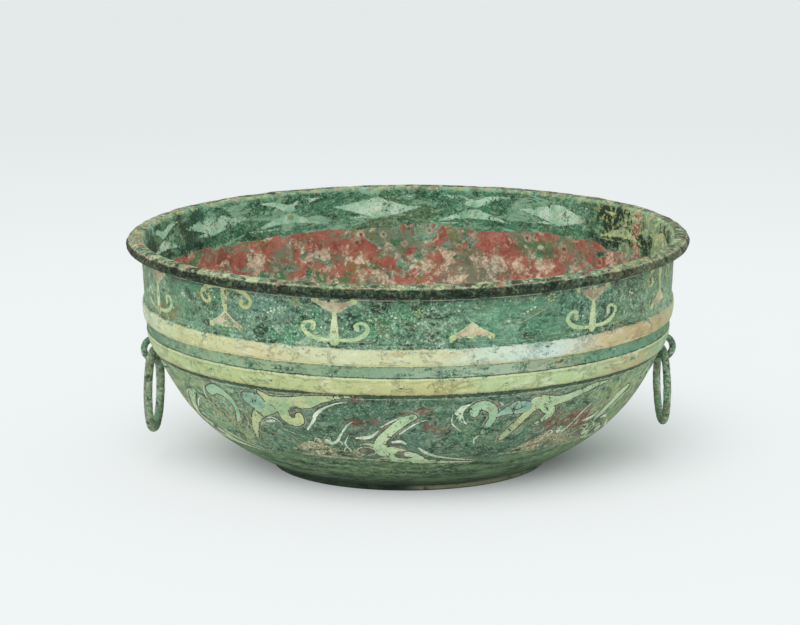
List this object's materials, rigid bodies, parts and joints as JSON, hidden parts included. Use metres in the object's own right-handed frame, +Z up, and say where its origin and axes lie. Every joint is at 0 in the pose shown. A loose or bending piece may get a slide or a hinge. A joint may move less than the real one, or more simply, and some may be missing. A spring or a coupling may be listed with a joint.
{
  "type": "bronze basin",
  "caption": "Round deep basin with a rolled lip, a raised band, a low foot ring and free ring handles hung in staple loops on opposite sides.",
  "frame": {"origin": "centre of the foot ring's underside", "axes": "+Z up, +X towards the right ring handle, the front faces -Y"},
  "size_m": [0.4, 0.4, 0.165],
  "materials": {
    "painted_bronze": "matte green patina with remains of paint",
    "loop_bronze": "matte green patina",
    "ring_bronze": "rough brown and green patina"
  },
  "bodies": {
    "basin": {"basin_body": "painted_bronze", "left_staple_loop": "loop_bronze", "right_staple_loop": "loop_bronze"},
    "left_ring": {"left_ring_handle": "ring_bronze"},
    "right_ring": {"right_ring_handle": "ring_bronze"}
  },
  "joints": [
    {"name": "left_ring_swing", "type": "hinge", "parent": "basin", "child": "left_ring", "pos_m": [-0.18239, 0, 0.0794], "axis": [0.0993, 0.9951, 0], "range_deg": [-18, 138]},
    {"name": "right_ring_swing", "type": "hinge", "parent": "basin", "child": "right_ring", "pos_m": [0.18176, 0, 0.079], "axis": [0.0819, -0.9966, 0], "range_deg": [-20, 142]}
  ]
}
